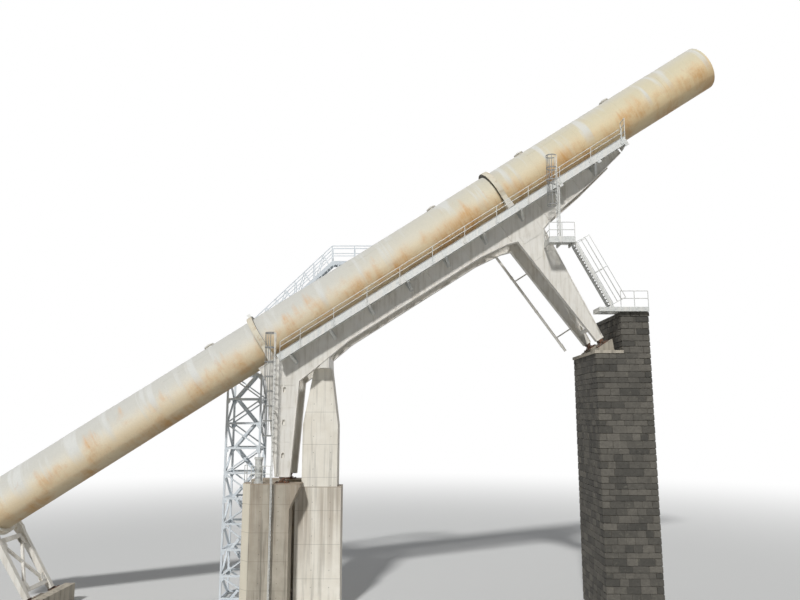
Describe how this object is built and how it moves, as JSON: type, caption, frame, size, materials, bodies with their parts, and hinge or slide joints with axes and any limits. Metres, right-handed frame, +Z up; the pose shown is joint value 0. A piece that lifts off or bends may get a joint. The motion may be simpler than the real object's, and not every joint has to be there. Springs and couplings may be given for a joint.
{
  "type": "industrial pipe bridge, 1:2 scale model",
  "caption": "Inclined pressure pipe carried over a gap by a steel portal frame on concrete and stone piers, with walkway, caged ladders and lattice stair tower, at half real size.",
  "frame": {"origin": "on the floor midway between the lower legs, at the middle of the lower pier's underside", "axes": "+X along the bridge towards the uphill end of the pipe, -Y towards the walkway side, +Z up"},
  "size_m": [26.8504, 4.11, 20.2654],
  "materials": {
    "pipe_paint": "weathered satin",
    "frame_paint": "weathered satin",
    "bearing_iron": "matte",
    "concrete": "rough",
    "stonework": "rough",
    "galvanised": "dull",
    "white_paint": "satin"
  },
  "bodies": {
    "root": {"pipe": "pipe_paint", "crown_manholes": "pipe_paint", "saddle_rings": "frame_paint", "girders": "frame_paint", "low_legs": "frame_paint", "high_legs": "frame_paint", "crossbeams": "frame_paint", "plan_bracing": "frame_paint", "portal_bracing": "frame_paint", "drain_pipe": "frame_paint", "rocker_frame": "frame_paint", "pier_saddle": "frame_paint", "low_bearings": "bearing_iron", "high_bearings": "bearing_iron", "rocker_bearings": "bearing_iron", "pedestals": "concrete", "inner_pier": "concrete", "rocker_footing": "concrete", "abutment_cap": "concrete", "abutment": "stonework", "walkway_deck": "galvanised", "walkway_fascia": "galvanised", "walkway_brackets": "galvanised", "walkway_handrail": "galvanised", "walkway_gate": "galvanised", "ladders": "galvanised", "ladder_cages": "galvanised", "ladder_stays": "galvanised", "platform": "galvanised", "pier_rails": "galvanised", "platform_hangers": "galvanised", "stair_strings": "galvanised", "stair_treads": "galvanised", "stair_rails": "galvanised", "landing": "galvanised", "standpipe": "galvanised", "pedestal_rail": "galvanised", "tower_faces": "white_paint", "tower_ends": "white_paint", "tower_landings": "white_paint", "tower_flights": "white_paint", "crown_sides": "white_paint", "crown_treads": "white_paint", "crown_landing": "white_paint", "crown_bents": "white_paint"}
  },
  "joints": []
}
